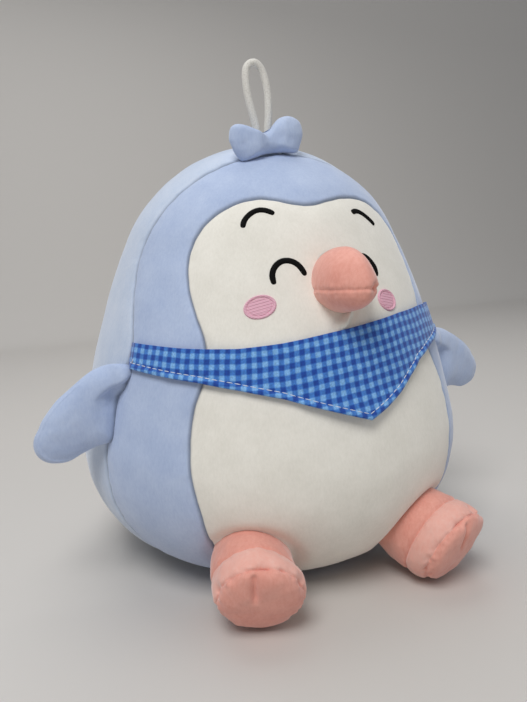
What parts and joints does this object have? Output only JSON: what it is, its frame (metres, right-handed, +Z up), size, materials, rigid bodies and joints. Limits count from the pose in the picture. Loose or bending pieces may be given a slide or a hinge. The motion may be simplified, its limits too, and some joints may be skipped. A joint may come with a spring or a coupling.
{
  "type": "plush penguin",
  "caption": "Seated egg-shaped plush penguin with a soft beak, flipper wings, stub feet, a check bandana sewn in at the sides, a head tuft and a cord hang loop.",
  "frame": {"origin": "on the floor, at the middle of the flat base", "axes": "+Z up, the face looks along -Y, the toy's left wing points along +X"},
  "size_m": [0.281, 0.2293, 0.2762],
  "materials": {
    "white_plush": "short brushed plush",
    "blue_plush": "short brushed plush",
    "pale_blue_plush": "short brushed plush",
    "salmon_plush": "short pile plush",
    "black_thread": "satin stitch",
    "pink_thread": "satin stitch",
    "gingham_cotton": "woven check",
    "white_cord": "round braided elastic",
    "polyester_fill": "loose fibre"
  },
  "bodies": {
    "body": {"front_panel": "white_plush", "hood_panel": "blue_plush", "back_panel_left": "pale_blue_plush", "back_panel_right": "pale_blue_plush", "base_panel": "pale_blue_plush", "body_stuffing": "polyester_fill", "beak_upper": "salmon_plush", "beak_lower": "salmon_plush", "beak_stuffing": "polyester_fill", "brow_left": "black_thread", "eye_left": "black_thread", "cheek_left": "pink_thread", "brow_right": "black_thread", "eye_right": "black_thread", "cheek_right": "pink_thread", "bandana_band": "gingham_cotton", "hang_loop": "white_cord"},
    "bandana_tip": {"bandana_tip": "gingham_cotton"},
    "wing_left": {"wing_left_front": "blue_plush", "wing_left_back": "blue_plush", "wing_left_stuffing": "polyester_fill"},
    "leg_left": {"leg_left_sleeve": "salmon_plush", "leg_left_foot": "salmon_plush", "leg_left_sole": "salmon_plush", "leg_left_stuffing": "polyester_fill"},
    "wing_right": {"wing_right_front": "blue_plush", "wing_right_back": "blue_plush", "wing_right_stuffing": "polyester_fill"},
    "leg_right": {"leg_right_sleeve": "salmon_plush", "leg_right_foot": "salmon_plush", "leg_right_sole": "salmon_plush", "leg_right_stuffing": "polyester_fill"},
    "tuft": {"tuft_front": "blue_plush", "tuft_back": "blue_plush", "tuft_stuffing": "polyester_fill"}
  },
  "joints": [
    {"name": "wing_left_swing", "type": "hinge", "parent": "body", "child": "wing_left", "pos_m": [0.1069, -0.034, 0.103], "axis": [0.2425, 0, -0.9701], "range_deg": [-25, 45], "stiffness_Nm_per_rad": 0.06},
    {"name": "leg_left_swing", "type": "hinge", "parent": "body", "child": "leg_left", "pos_m": [0.047, -0.085, 0.0262], "axis": [-0.9397, -0.342, 0], "range_deg": [-15, 9], "stiffness_Nm_per_rad": 0.5},
    {"name": "wing_right_swing", "type": "hinge", "parent": "body", "child": "wing_right", "pos_m": [-0.1069, -0.034, 0.103], "axis": [0.2425, 0, 0.9701], "range_deg": [-25, 45], "stiffness_Nm_per_rad": 0.06},
    {"name": "leg_right_swing", "type": "hinge", "parent": "body", "child": "leg_right", "pos_m": [-0.047, -0.085, 0.0262], "axis": [-0.9397, 0.342, 0], "range_deg": [-15, 9], "stiffness_Nm_per_rad": 0.5},
    {"name": "tuft_bend", "type": "hinge", "parent": "body", "child": "tuft", "pos_m": [-0.0095, -0.038, 0.232], "axis": [1, 0, 0], "range_deg": [-20, 20], "stiffness_Nm_per_rad": 0.01},
    {"name": "bandana_tip_lift", "type": "hinge", "parent": "body", "child": "bandana_tip", "pos_m": [0, -0.1056, 0.1096], "axis": [-1, 0, 0], "range_deg": [0, 35], "stiffness_Nm_per_rad": 0.004}
  ]
}
